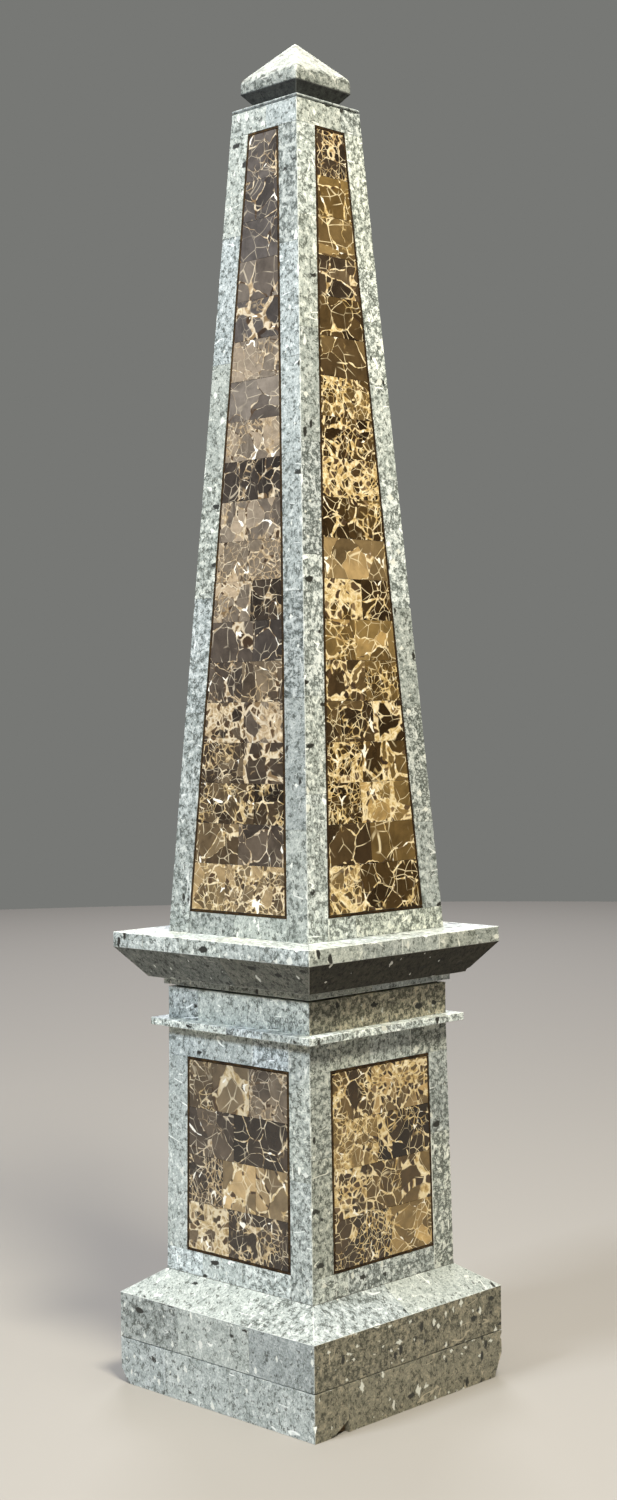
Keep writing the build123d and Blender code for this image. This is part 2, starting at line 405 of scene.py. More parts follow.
    def finish(self, look):
        """Makes the piece, gives it the material of its look and its body, and hides the CAD node that it
        replaces.
        """
        material, slot = look
        mesh = bpy.data.meshes.new(self.name)
        mesh.from_pydata(self.points, [], self.faces)
        stores = (
            ("cut", "FLOAT_VECTOR", "POINT", "vector", self.cut),
            ("kind", "FLOAT_VECTOR", "POINT", "vector", self.kind),
            ("busy", "FLOAT", "POINT", "value", self.busy),
            ("worn", "FLOAT", "FACE", "value", self.worn),
        )
        for name, form, domain, field, values in stores:
            store = mesh.attributes.new(name, form, domain)
            flat = values if field == "value" else [x for value in values for x in value]
            store.data.foreach_set(field, flat)
        mesh.materials.append(material)
        piece = put(self.name, mesh)
        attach(piece, "root")
        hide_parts(self.node)
        return piece


def cuts(rng, start, end, length):
    """Places of the upright joints along a row: near one length apart, and never alike."""
    count = max(1, round((end - start) / length + swing(rng, COUNT_SWING)))
    if count == 1:
        return []
    pitch = (end - start) / count
    shift = swing(rng, ROW_SHIFT)
    return [start + pitch * (i + shift + swing(rng, CUT_SWING)) for i in range(1, count)]


def lay_row(tiles, course, face, depth, v, ends, length, edges, knocks=None, at=None):
    """Lays a row of tiles. edges are those of the whole row, and at gives chosen joints."""
    middle = sum(v) / 2
    places = at or cuts(tiles.rng, ends[0](middle), ends[1](middle), length)
    lines = [ends[0], *map(seam, places), ends[1]]
    foot, right, head, left = edges
    for i, pair in enumerate(zip(lines, lines[1:])):
        own_right = right if i == len(places) else "j"
        own_left = left if i == 0 else "j"
        own = foot + own_right + head + own_left
        tiles.lay(course, face, depth, v, pair, own, knocks=(knocks or {}).get(i))


def lay_course(tiles, course, face, depth, length, edges, short=0.0, **broken):
    """Lays one row from arris to arris, as high as the course or a little short of it."""
    ends = course.arris(-1), course.arris(1)
    v = 0, course.rise - short
    lay_row(tiles, course, face, depth, v, ends, length, edges, **broken)


# ---- mixing a finish ----
def colour(code):
    """A linear colour from an sRGB hex value."""
    parts = [int(code[i : i + 2], 16) / 255 for i in (1, 3, 5)]
    linear = [p / 12.92 if p <= 0.04045 else ((p + 0.055) / 1.055) ** 2.4 for p in parts]
    return (*linear, 1.0)


def wire(node, inputs):
    """Sets a node's inputs, by name or in their order.

    Each is a constant, a hex colour, a socket, or a node, which stands for its first output.
    A pair sets two inputs, the Min and the Max of that name.
    """
    sockets = []
    for name, value in inputs.items() if isinstance(inputs, dict) else enumerate(inputs):
        if isinstance(value, tuple) and len(value) == 2:
            sockets += zip((name + " Min", name + " Max"), value)
        else:
            sockets.append((name, value))
    for name, value in sockets:
        if isinstance(value, bpy.types.Node):
            value = value.outputs[0]
        if isinstance(value, bpy.types.NodeSocket):
            node.id_data.links.new(value, node.inputs[name])
        else:
            node.inputs[name].default_value = colour(value) if isinstance(value, str) else value


def add_node(tree, kind, inputs=(), operation=None, stops=(), **settings):
    """Adds a node with its settings, the stops of its colour ramp and its inputs."""
    node = tree.nodes.new("ShaderNode" + kind)
    if operation:
        settings["operation"] = operation
    for name, value in settings.items():
        setattr(node, name, value)
    wire(node, inputs)
    for _ in stops[2:]:
        node.color_ramp.elements.new(1.0)
    for i, (place, code) in enumerate(stops):
        element = node.color_ramp.elements[i]
        element.position, element.color = place, colour(code)
    return node


def new_finish(name):
    """An empty material, what adds nodes to it, and its shader."""
    material = bpy.data.materials.new(name)
    material.use_nodes = True
    material.node_tree.nodes.clear()
    add = partial(add_node, material.node_tree)
    shader = add("BsdfPrincipled")
    add("OutputMaterial", {"Surface": shader})
    return material, add, shader


def tile_data(add):
    """What a tile tells its finish: its place in the block in millimetres, its kind, how busy it is."""
    where = add("Attribute", attribute_name="cut").outputs["Vector"]
    kind = add("Attribute", attribute_name="kind").outputs["Vector"]
    busy = add("Attribute", attribute_name="busy").outputs["Fac"]
    return where, add("SeparateXYZ", [kind]).outputs, busy


def overlaid(add, finish, *layers):
    """A finish with others laid over it in turn, each where its share says."""
    for share, over in layers:
        finish = add("MixRGB", [share, finish, over])
    return finish


def cells(add, where, across, **settings):
    """A pattern of cells so many millimetres across, and three numbers that each cell has drawn."""
    pattern = add("TexVoronoi", {"Vector": where, "Scale": 1 / across}, **settings)
    return pattern, add("SeparateColor", [pattern.outputs["Color"]]).outputs


def warped(add, place, where, across, detail, pull):
    """Places that waves, so many millimetres across, pull about by up to so many millimetres."""
    noisy = add("TexNoise", {"Vector": where, "Scale": 1 / across, "Detail": detail})
    return add("VectorMath", [noisy.outputs["Color"], (pull, pull, pull), place], "MULTIPLY_ADD")


def contour(add, field, outer, inner):
    """A line along the contour where a field is at its middle value, 0.5."""
    off = add("Math", [field, 0.5], "SUBTRACT")
    away = add("Math", [off], "ABSOLUTE")
    return add("MapRange", {"Value": away, "From": (outer, inner)})


def patches(add, field, busy, level, strength):
    """The patches where a field is above a level, which runs from calm stone to busy stone."""
    start = add("MapRange", {"Value": busy, "To": level})
    full = add("Math", [start, 0.03], "ADD")
    return add("MapRange", {"Value": field, "From": (start, full), "To": (0.0, strength)})


def scattered(add, pattern, draw, shelly, level, reach, edge, strength=1.0):
    """Some cells of a pattern, each filled from its middle as far as its own reach.

    level runs from stone with few shells to stone that is full of them.
    """
    away, lot = pattern
    rare = add("MapRange", {"Value": shelly, "From": (0.0, 2.0), "To": level})
    there = add("Math", [lot[draw], rare], "GREATER_THAN")
    own_reach = add("MapRange", {"Value": lot["Blue"], "To": reach})
    within = add("Math", [own_reach, away], "SUBTRACT")
    filled = add("MapRange", {"Value": within, "From": (0.0, edge), "To": (0.0, strength)})
    return add("Math", [filled, there], "MULTIPLY")


def fossil_stone():
    """Grey fossil stone, a dense shelly limestone, sawn in thin slips and honed.

    Honing leaves a soft sheen. The eye reads fine crystalline grain, white shell fragments,
    thin dark worm tracks and small pits where shells fell out; rubbed edges go chalky.
    """
    material, add, shader = new_finish("honed_grey_fossil_stone")
    where, (tone, tint, shelly), busy = tile_data(add)
    worn = add("Attribute", attribute_name="worn").outputs["Fac"]

    # The ground: clouds 14 mm across, then soft grain and crisp crystals, which are drawn about
    # 1 mm across, coarser than the real 0.4 mm, so that they show.
    clouds = add("TexNoise", {"Vector": where, "Scale": 1 / 14, "Detail": 3.0, "Roughness": 0.6})
    grain = add("TexNoise", {"Vector": where, "Scale": 1 / 0.9, "Detail": 2.0, "Roughness": 0.7})
    _, crystal = cells(add, where, 1.1)
    torn = warped(add, where, where, 1.8, 2.0, 2.2)

    # Leaf-like fragments 2 mm wide and 4 mm long, each a little lighter or darker than the next.
    leaning = add("VectorMath", [torn, (1.0, 0.5, 0.8)], "MULTIPLY")
    _, leaf = cells(add, leaning, 2.0)
    strength = add("MapRange", {"Value": busy, "From": (0.2, 0.8), "To": (0.06, 0.16)})
    about = add("Math", [leaf["Red"], 0.5], "SUBTRACT")
    part = add("Math", [about, strength], "MULTIPLY")
    part = add("Math", [clouds, 0.3, part], "MULTIPLY_ADD")

    # Patches 6 mm across, where the bed was stirred: again lighter or darker.
    _, smear = cells(add, torn, 6)
    shaded = add("Math", [smear["Blue"], 0.5], "SUBTRACT")
    part = add("Math", [shaded, 0.18, part], "MULTIPLY_ADD")
    part = add("Math", [grain, 0.5, part], "MULTIPLY_ADD")
    level = add("Math", [crystal["Green"], 0.36, part], "MULTIPLY_ADD")
    greys = [(0.26, "#737a76"), (0.41, "#929894"), (0.55, "#a7ada9"), (0.69, "#b8bdb9"), (0.86, "#d0d3ce")]
    stone = add("ValToRGB", [level], stops=greys)

    # Dark crumbs about 1 mm across, gathered in patches.
    patch = add("MapRange", {"Value": clouds, "From": (0.35, 0.65), "To": (0.07, -0.07)})
    crumb = add("TexNoise", {"Vector": leaning, "Scale": 1 / 1.9, "Detail": 1.0})
    crumbled = add("Math", [crumb, patch], "ADD")
    dark_crumb = patches(add, crumbled, busy, (0.71, 0.66), 0.85)

    # Rims of the fragments: broken hairlines, dark in some places and pale in others.
    borders = add("TexVoronoi", {"Vector": leaning, "Scale": 1 / 2.0}, feature="DISTANCE_TO_EDGE")
    rim = add("MapRange", {"Value": borders, "From": (0.18, 0.09)})
    runs = add("TexNoise", {"Vector": where, "Scale": 1 / 4, "Detail": 2.0})
    gathered = add("MapRange", {"Value": busy, "To": (-0.12, 0.07)})
    dark_at = add("Math", [runs, gathered], "ADD")
    dark_run = add("MapRange", {"Value": dark_at, "From": (0.5, 0.56), "To": (0.0, 0.8)})
    pale_at = add("Math", [runs, gathered], "SUBTRACT")
    pale_run = add("MapRange", {"Value": pale_at, "From": (0.42, 0.39), "To": (0.0, 0.7)})
    dark_rim = add("Math", [rim, dark_run], "MULTIPLY")
    pale_rim = add("Math", [rim, pale_run], "MULTIPLY")

    # Worm tracks: lines 0.8 mm wide along a contour of a 4 mm pattern, where the stone is busy.
    bored = {"Vector": where, "Scale": 1 / 4, "Detail": 1.0, "Distortion": 0.8}
    track = contour(add, add("TexNoise", bored), 0.04, 0.02)
    tracks = add("Math", [track, dark_run], "MULTIPLY")

    # Calcite hairlines, 0.7 mm wide, that run a little way across the bedding.
    across = add("VectorMath", [where, (0.3, 1.0, 1.0)], "MULTIPLY")
    bedding = add("TexNoise", {"Vector": across, "Scale": 1 / 16, "Detail": 2.0})
    hair = contour(add, bedding, 0.014, 0.006)
    here = add("TexNoise", {"Vector": where, "Scale": 1 / 11, "Detail": 0.0})
    shown = patches(add, here, busy, (0.68, 0.61), 0.9)
    hairs = add("Math", [hair, shown], "MULTIPLY")
    rims = (dark_rim, "#4c504a"), (pale_rim, "#e6e8e2")
    finish = overlaid(add, stone, (dark_crumb, "#4f534e"), *rims, (tracks, "#4d514b"), (hairs, "#f3f4ef"))

    # Each slip comes from another part of the bed: lighter or darker, and bluer, greener or browner; on
    # the shaded faces the darker, browner tone is painted shade.
    tints = [(0.0, "#f8fbff"), (0.4, "#fdfefc"), (0.7, "#fffef6"), (1.0, "#ffeed0")]
    for own in (tone, add("ValToRGB", [tint], stops=tints)):
        finish = add("MixRGB", [1.0, finish, own], blend_type="MULTIPLY")

    # Shell fragments: some cells of a 4 mm pattern hold a white, ragged flake.
    splinter = add("VectorMath", [torn, (1.0, 0.6, 1.0)], "MULTIPLY")
    flakes = cells(add, splinter, 4, distance="MANHATTAN")
    shell = scattered(add, flakes, "Red", shelly, (0.98, 0.84), (0.15, 0.85), 0.12, 0.9)

    # Pits: some cells of a 5 mm pattern, drawn out twice as long as wide.
    narrow = add("VectorMath", [torn, (0.5, 1.0, 1.0)], "MULTIPLY")
    pit = scattered(add, cells(add, narrow, 5), "Green", shelly, (0.99, 0.76), (0.15, 0.52), 0.1)

    # Rubbed places go chalky; on the cap's top the same pale colour is painted light.
    chalky = add("Math", [worn, 0.75], "MULTIPLY")
    finish = overlaid(add, finish, (shell, "#dcddd3"), (pit, "#2b2b26"), (chalky, "#eceee6"))

    # Honed, but nearer to as sawn the darker the tone is, painted shade included, which leaves the
    # undersides matt.
    gloss = add("MapRange", {"Value": clouds, "From": (0.3, 0.7), "To": (0.42, 0.58)})
    unpolished = add("MapRange", {"Value": tone, "From": (0.5, 0.3)})
    matt = add("Math", [chalky, unpolished], "MAXIMUM")
    dull = add("MixRGB", [matt, gloss, (0.88, 0.88, 0.88, 1.0)])
    dip = add("Math", [pit, -1.0], "MULTIPLY")
    relief = add("Math", [grain, 0.25, dip], "MULTIPLY_ADD")
    bump = add("Bump", {"Height": relief, "Strength": 0.6, "Distance": 0.3 * MM})
    wire(shader, {"Base Color": finish, "Roughness": dull, "Normal": bump})
    return material


def brown_marble():
    """Dark brown brecciated marble, sawn in thin tiles and polished.

    Polish gives a clear sheen over smooth brown clasts, set in a net of cream and golden
    calcite veins. Some tiles are nearly all clast, and some nearly all golden matrix.
    """
    material, add, shader = new_finish("polished_brown_marble")
    where, (dark, rich, golden), busy = tile_data(add)

    # Some of the rock is broken finer than the rest.
    crush = add("MapRange", {"Value": busy, "To": (0.7, 1.5)})
    rock = add("VectorMath", {0: where, "Scale": crush}, "SCALE")

    # The rock was sheared before it healed: swings of 28 mm, then of 8 mm.
    swung = warped(add, rock, rock, 28, 0.0, 12)
    bent = warped(add, swung, where, 8, 1.0, 4)

    # Clasts about 18 mm across, each of its own brown.
    from_middle, brown = cells(add, bent, 18)
    own = add("Math", [brown["Red"], 0.36], "MULTIPLY")
    depth = add("Math", [dark, 0.64, own], "MULTIPLY_ADD")
    browns = [(0.05, "#9c9186"), (0.25, "#76706b"), (0.45, "#5c5652"), (0.65, "#47423f"), (0.9, "#322e2b")]
    olives = [(0.05, "#bd9d66"), (0.25, "#78623b"), (0.45, "#584527"), (0.65, "#3a2b17"), (0.9, "#1f160b")]
    brown_clast = add("ValToRGB", [depth], stops=browns)
    olive_clast = add("ValToRGB", [depth], stops=olives)
    share = add("MapRange", {"Value": golden})
    clast = add("MixRGB", [share, brown_clast, olive_clast])
    smoke = add("TexNoise", {"Vector": bent, "Scale": 1 / 9, "Detail": 4.0, "Roughness": 0.6})
    shade = add("MapRange", {"Value": smoke, "From": (0.3, 0.7), "To": (0.7, 1.3)})
    smoked = add("MixRGB", [1.0, clast, shade], blend_type="MULTIPLY")

    # Matrix: ochre to cream where the marble is golden and else rosier, mottled every 5 mm.
    mottle = add("TexNoise", {"Vector": bent, "Scale": 1 / 5, "Detail": 4.0, "Roughness": 0.65})
    ochres = [(0.3, "#7a6034"), (0.42, "#ab8d56"), (0.53, "#d1b984"), (0.66, "#f1e5c8")]
    roses = [(0.3, "#665641"), (0.42, "#897457"), (0.53, "#aa9372"), (0.66, "#d6c6a8")]
    ochre = add("ValToRGB", [mottle], stops=ochres)
    rose = add("ValToRGB", [mottle], stops=roses)
    rosy = add("MapRange", {"Value": golden, "From": (0.5, 0.9), "To": (1.0, 0.0)})
    matrix = add("MixRGB", [rosy, ochre, rose])
    healed = add("MixRGB", [rosy, "#e2d1ab", "#cabca3"])

    # Veins: between the clasts, from a hairline to 3 mm, and far wider where the tile is rich.
    net = add("TexVoronoi", {"Vector": bent, "Scale": 1 / 18}, feature="DISTANCE_TO_EDGE")
    swell = add("TexNoise", {"Vector": where, "Scale": 1 / 15, "Detail": 2.0})
    richest = add("Math", [rich, 6.0], "POWER")
    wide = add("MapRange", {"Value": swell, "From": (0.42, 0.68), "To": (0.008, 0.07)})
    often = add("MapRange", {"Value": busy, "From": (0.1, 0.9), "To": (0.35, 1.1)})
    wide = add("Math", [wide, often], "MULTIPLY")
    widest = add("Math", [richest, 0.26, wide], "MULTIPLY_ADD")
    inner = add("Math", [widest, 0.75], "MULTIPLY")
    between = add("MapRange", {"Value": net, "From": (widest, inner)})
    # The richer the matrix, the rounder the clasts.
    round_from = add("Math", [richest, -0.3, 0.86], "MULTIPLY_ADD")
    beyond = add("Math", [from_middle, round_from], "SUBTRACT")
    rounded = add("MapRange", {"Value": beyond, "From": (0.0, 0.03)})
    vein = add("Math", [between, rounded], "MAXIMUM")

    # Small clasts of 6.5 mm swim in the matrix, each with a cream rim.
    _, pebble = cells(add, bent, 6.5)
    fine = add("TexVoronoi", {"Vector": bent, "Scale": 1 / 6.5}, feature="DISTANCE_TO_EDGE")
    island = add("MapRange", {"Value": fine, "From": (0.11, 0.15)})
    kept = add("Math", [pebble["Green"], 0.4], "GREATER_THAN")
    rim = add("MapRange", {"Value": fine, "From": (0.1, 0.05), "To": (0.0, 0.8)})
    rimmed = add("MixRGB", [rim, matrix, healed])
    swims = add("Math", [island, kept], "MULTIPLY")
    umbers = [(0.0, "#2f2217"), (0.6, "#4e3b28"), (1.0, "#80694a")]
    umber = add("ValToRGB", [pebble["Red"]], stops=umbers)
    peopled = add("MixRGB", [swims, rimmed, umber])

    # Crushed zones: the same small cells outlined, only where the rock was ground up.
    crushed = add("TexNoise", {"Vector": where, "Scale": 1 / 21, "Detail": 2.0})
    much = add("Math", [busy, 0.3, crushed], "MULTIPLY_ADD")
    zone = add("MapRange", {"Value": much, "From": (0.7, 0.78)})
    reach = add("MapRange", {"Value": swell, "From": (0.4, 0.66), "To": (0.05, 0.14)})
    near = add("Math", [reach, 0.4], "MULTIPLY")
    web = add("MapRange", {"Value": fine, "From": (reach, near)})
    ground = add("Math", [web, zone], "MULTIPLY")

    # Hairline cracks across the clasts, healed with calcite.
    crack = add("TexVoronoi", {"Vector": swung, "Scale": 1 / 11}, feature="DISTANCE_TO_EDGE")
    line = add("MapRange", {"Value": crack, "From": (0.028, 0.012)})
    broken = add("TexNoise", {"Vector": where, "Scale": 1 / 14, "Detail": 1.0})
    clear = add("MapRange", {"Value": golden, "To": (0.45, 0.9)})
    some = add("MapRange", {"Value": broken, "From": (0.42, 0.6), "To": (0.0, clear)})
    hair = add("Math", [line, some], "MULTIPLY")

    # White calcite where a vein opened.
    spar = add("TexNoise", {"Vector": where, "Scale": 1 / 12, "Detail": 2.0})
    opened = add("MapRange", {"Value": spar, "From": (0.61, 0.74), "To": (0.0, 0.07)})
    sliver = add("Math", [opened, net], "SUBTRACT")
    calcite = add("MapRange", {"Value": sliver, "From": (0.0, 0.01)})
    layers = (vein, peopled), (ground, matrix), (hair, healed), (calcite, "#f5efdf")
    finish = overlaid(add, smoked, *layers)

    # Calcite takes a duller polish than the clasts.
    veined = add("Math", [vein, ground], "MAXIMUM")
    polish = add("MapRange", {"Value": veined, "To": (0.22, 0.36)})
    wire(shader, {"Base Color": finish, "Roughness": polish, "IOR": 1.56})
    return material


def tarnished_brass():
    """Brass strip, rolled flat, ground flush with the stone and long since tarnished brown.

    The tarnish dulls it to bronze brown; a little bare metal glints where it was rubbed.
    """
    material, add, shader = new_finish("tarnished_brass")
    where = add("Attribute", attribute_name="cut").outputs["Vector"]
    stain = add("TexNoise", {"Vector": where, "Scale": 1 / 5, "Detail": 4.0, "Roughness": 0.65})
    bronzes = [(0.34, "#291d12"), (0.5, "#40301d"), (0.64, "#5b4629"), (0.78, "#8c6f40")]
    skin = add("ValToRGB", [stain], stops=bronzes)
    dull = add("MapRange", {"Value": stain, "From": (0.4, 0.75), "To": (0.62, 0.38)})
    wire(shader, {"Base Color": skin, "Roughness": dull, "Metallic": 0.7})
    return material


def raw_plywood():
    """Plywood of the carcass, sawn and left bare, seen only at breaks and underneath.

    Rotary-cut veneer shows long wandering grain, and its edge shows 1.5 mm plies.
    """
    material, add, shader = new_finish("raw_plywood")
    place = add("TexCoord").outputs["Object"]
    # Grain 17 mm long and 1.1 mm wide, in plies of 1.5 mm.
    along = add("VectorMath", [place, (60.0, 900.0, 660.0)], "MULTIPLY")
    wavy = {"Vector": along, "Scale": 1.0, "Detail": 4.0, "Roughness": 0.6, "Distortion": 0.8}
    grain = add("TexNoise", wavy)
    woods = [(0.3, "#4f3d2a"), (0.5, "#6d563c"), (0.7, "#8a7051")]
    wood = add("ValToRGB", [grain], stops=woods)
    bump = add("Bump", {"Height": grain, "Strength": 0.4, "Distance": 0.2 * MM})
    wire(shader, {"Base Color": wood, "Roughness": 0.8, "Normal": bump})
    return material


def cement_skim():
    """Tile cement, trowelled thin over the carcass: a dull sandy grey, the dark of the joints.

    Its sand is drawn 1.1 mm across, coarser than the real 0.3 mm.
    """
    material, add, shader = new_finish("cement_skim")
    place = add("TexCoord").outputs["Object"]
    sand = add("TexNoise", {"Vector": place, "Scale": 900.0, "Detail": 3.0})
    grey = add("ValToRGB", [sand], stops=[(0.3, "#3f3c36"), (0.7, "#6a665d")])
    wire(shader, {"Base Color": grey, "Roughness": 0.9})
    return material


STONE = fossil_stone(), "grey_stone"  # the look of a piece: its material and its slot
MARBLE = brown_marble(), "brown_marble"
BRASS = tarnished_brass(), "brass"
PLYWOOD = raw_plywood()
CEMENT = cement_skim()


# ---- the courses, from the frame ----
def course_of(node, goes_in="level"):
    """The course that a CAD node's outer faces lie on."""
    low, high = levels(node)
    return Course(half_width(node, low), half_width(node, high), low, high, goes_in)


plinth_upper = course_of("plinth_upper_front")
plinth_half = plinth_upper.foot
plinth_lower = Course(plinth_half, plinth_half, *levels("plinth_lower_front"))
plinth_slope = course_of("plinth_slope_front", "down")
pedestal = course_of("pedestal_frame_front")
shaft = course_of("shaft_frame_front")
veneer = plinth_half - half_width("base_board", plinth_lower.low)

# ---- plinth ----
NOTCH_SEAM = 31 * MM  # from the front right arris, where the tile's lower corner is gone
NOTCH_LONG = 14 * MM
NOTCH_HIGH = 8 * MM
LEFT_BREAK = (10 * MM, 8 * MM)  # up the arris, along the foot
RIGHT_BREAK = (16 * MM, 8 * MM)
FOOT_BREAKS = {  # face, tile of its lower course and corner of the tile
    "front": {0: {0: (*LEFT_BREAK, False)}},
    "right": {0: {1: (NOTCH_LONG, NOTCH_HIGH, True)}, 2: {1: (*reversed(RIGHT_BREAK), False)}},
    "back": {0: {0: (*RIGHT_BREAK, False)}},
    "left": {2: {1: (*reversed(LEFT_BREAK), False)}},
}
FOOT_JOINTS = {"right": [-plinth_half + NOTCH_SEAM, 35 * MM], "left": [-40 * MM, 22 * MM]}


def lay_plinth():
    slope_thick = veneer * plinth_slope.rise / (plinth_slope.foot - plinth_slope.head)
    for face in FACES:
        # the right face is painted darker and browner: painted shade
        bed = PLINTH_PAINTED_SHADE_BED if face == "right" else PLINTH_BED
        lower = Tiles(f"plinth_lower_{face}", bed)
        broken = {"knocks": FOOT_BREAKS[face], "at": FOOT_JOINTS.get(face)}
        lay_course(lower, plinth_lower, face, veneer, PLINTH_TILE, "jaja", COURSE_JOINT, **broken)
        lower.finish(STONE)

        upper = Tiles(f"plinth_upper_{face}", bed)
        lay_course(upper, plinth_upper, face, veneer, PLINTH_TILE, "jaaa")
        upper.finish(STONE)

        slope = Tiles(f"plinth_slope_{face}", SLOPE_BED)
        lay_course(slope, plinth_slope, face, slope_thick, SLOPE_TILE, "aaja")
        slope.finish(STONE)


# ---- inlaid faces ----
# Where a rail runs over the stile: low left, low right, top left, top right, for each face.
RAILS_OVER = {
    "shaft": ((0, 0, 1, 1), (0, 1, 1, 1), (1, 0, 1, 1), (0, 1, 1, 0)),
    "pedestal": ((1, 0, 1, 0), (1, 0, 0, 1), (0, 1, 1, 1), (1, 1, 0, 1)),
}


def lay_frame(tiles, course, face, line, over):
    """The rails and stiles round a panel."""
    sides = (-1, 1)
    for top in (False, True):
        v = (line.high, course.rise) if top else (0, line.low)
        past = over[2:] if top else over[:2]
        ends = [course.arris(s) if past[i] else line.edge(s) for i, s in enumerate(sides)]
        edges = "j" + "ja"[past[1]] + "j" + "ja"[past[0]]
        lay_row(tiles, course, face, veneer, v, ends, RAIL_TILE, edges)
    for i, s in enumerate(sides):
        low = line.low if over[i] else 0
        high = line.high if over[2 + i] else course.rise
        places = [low, *cuts(tiles.rng, low, high, STILE_TILE), high]
        ends = (course.arris(-1), line.edge(-1)) if s < 0 else (line.edge(1), course.arris(1))
        edges = "jjja" if s < 0 else "jajj"
        for v in zip(places, places[1:]):
            tiles.lay(course, face, veneer, v, ends, edges)


def lay_line(tiles, course, face, line, panel):
    """The brass strip round a panel: two uprights between two strips that run past them."""
    gaps = [LINE_JOINT / 2] * 4
    for s in (-1, 1):
        ends = (line.edge(-1), panel.edge(-1)) if s < 0 else (panel.edge(1), line.edge(1))
        tiles.lay(course, face, veneer, (panel.low, panel.high), ends, "jjjj", gaps)
    for v in ((line.low, panel.low), (panel.high, line.high)):
        tiles.lay(course, face, veneer, v, (line.edge(-1), line.edge(1)), "jjjj", gaps)


def lay_panel(tiles, course, face, panel, rows):
    """The marble tiles of a panel, row over row, their joints never in line."""
    foot, head = GOLDEN[face]
    for v in zip(rows, rows[1:]):
        tiles.golden = foot + (head - foot) * v[0] / shaft.rise
        lay_row(tiles, course, face, veneer, v, (panel.edge(-1), panel.edge(1)), PANEL_TILE, "jjjj")


def rows_of(panel, count, end_row):
    """The levels of a panel's rows. end_row is the first and last row's height in other rows."""
    pitch = (panel.high - panel.low) / (count - 2 + 2 * end_row)
    first = panel.low + end_row * pitch
    return [panel.low, *(first + pitch * i for i in range(count - 1)), panel.high]


def lay_inlaid(name, course):
    """The four inlaid faces of the pedestal or the shaft."""
    line = Panel(f"{name}_brass_lines", course)
    panel = Panel(f"{name}_inlay_front", course)
    strips = Tiles(f"{name}_brass_lines", name=f"{name}_brass_strips")
    for face, over in zip(FACES, RAILS_OVER[name]):
        surround = Tiles(f"{name}_frame_{face}", FRAME_BEDS[name][face])
        lay_frame(surround, course, face, line, over)
        surround.finish(STONE)
        lay_line(strips, course, face, line, panel)
        field = Tiles(f"{name}_inlay_{face}")
        lay_panel(field, course, face, panel, rows_of(panel, *PANEL_ROWS[name]))
        field.finish(MARBLE)
    strips.finish(BRASS)


# ---- mouldings ----
def lay_band(node, beds, length, depth, edges="aaaa", chips=THIN_CHIP_DEPTH):
    """A band of strips round the object, as deep as the ledge or fillet that they make.

    beds are the bed of the strips and the bed of those on the right face.
    """
    course = course_of(node)
    tiles = Tiles(node)
    tiles.chips = chips
    for face in FACES:
        tiles.bed = beds[face == "right"]
        lay_course(tiles, course, face, depth, length, edges)
    tiles.finish(STONE)


def lay_mouldings():
    core = pedestal.head - veneer
    ledge_depth = course_of("ledge").foot - core
    fillet_depth = course_of("fillet").head - core
    lay_band("ledge", (LEDGE_BED, LEDGE_BED), LEDGE_TILE, ledge_depth)
    # its right face is painted darker: painted shade under the cornice
    lay_band("frieze", (FRIEZE_BED, FRIEZE_PAINTED_SHADE_BED), FRIEZE_TILE, veneer, "jaja")
    lay_band("fillet", (MOULDING_BED, MOULDING_BED), FILLET_TILE, fillet_depth, "aaja")


def lay_cornice():
    flare = course_of("cornice_soffit")
    thick = veneer * flare.rise / (flare.high - flare.low)
    # painted shade: dark soffits, darkest on the right face
    beds = SOFFIT_PAINTED_SHADE_BED, RIGHT_SOFFIT_PAINTED_SHADE_BED
    lay_band("cornice_soffit", beds, SOFFIT_TILE, thick, "aaja", CHIP_DEPTH)

    edge = course_of("cornice_slab")
    top = Course(edge.foot - veneer, shaft.foot - veneer, edge.high, edge.high, "down")
    slab = Tiles("cornice_slab", MOULDING_BED)
    for face in FACES:
        lay_course(slab, edge, face, veneer, CORNICE_TILE, "aaaa")
        lay_course(slab, top, face, veneer, CORNICE_TILE, "jjjj")
    slab.finish(STONE)


# ---- cap and top plate ----
SIDE_POINTS = 24
CORNER_POINTS = 5
RING_SIDE = SIDE_POINTS + CORNER_POINTS
ROUNDEST = 0.6  # a corner's radius is at most this share of the half width
PROFILE_STEP = 0.9 * MM
DENTS = 3.5 * MM  # size of the shallow dents in a worn surface
SMALL_DENTS = 1.2 * MM
SMALL_DENT_SHARE = 0.5
CORNER_CHALK = 0.1
TOP_PAINTED_LIGHT = 0.26  # painted light: the top of the cap is whitened where the light from above falls
TIP_CHALK = 0.3
PAINTED_LIGHT_RAGGED = 6 * MM  # how far the foot of the painted light on the top wanders up and down
PAINTED_LIGHT_WAVES = 4 * MM  # and over what length


class Wear(NamedTuple):
    """How the edges of a solid block are worn."""

    corner: float  # radius of the upright corners
    dent: float  # depth of the dents
    rounding: int = 0  # how often the profile is smoothed


CAP_WEAR = Wear(corner=1.6 * MM, dent=0.28 * MM, rounding=10)
CAP_FOOT_WEAR = Wear(corner=0.5 * MM, dent=0.1 * MM)
PLATE_WEAR = Wear(corner=0.4 * MM, dent=0.25 * MM)
PLATE_EDGE = 0.3 * MM  # of the plate, rubbed off
EAVES = 8.8 * MM  # height of the upright band under the pyramid
TIP_WORN = 2.6 * MM  # height of the tip that has worn blunt
BLUNT_TIP = ((1.0, 1.0), (0.6, 0.55), (0.2, 0.4))  # its half widths and depths, as shares of that


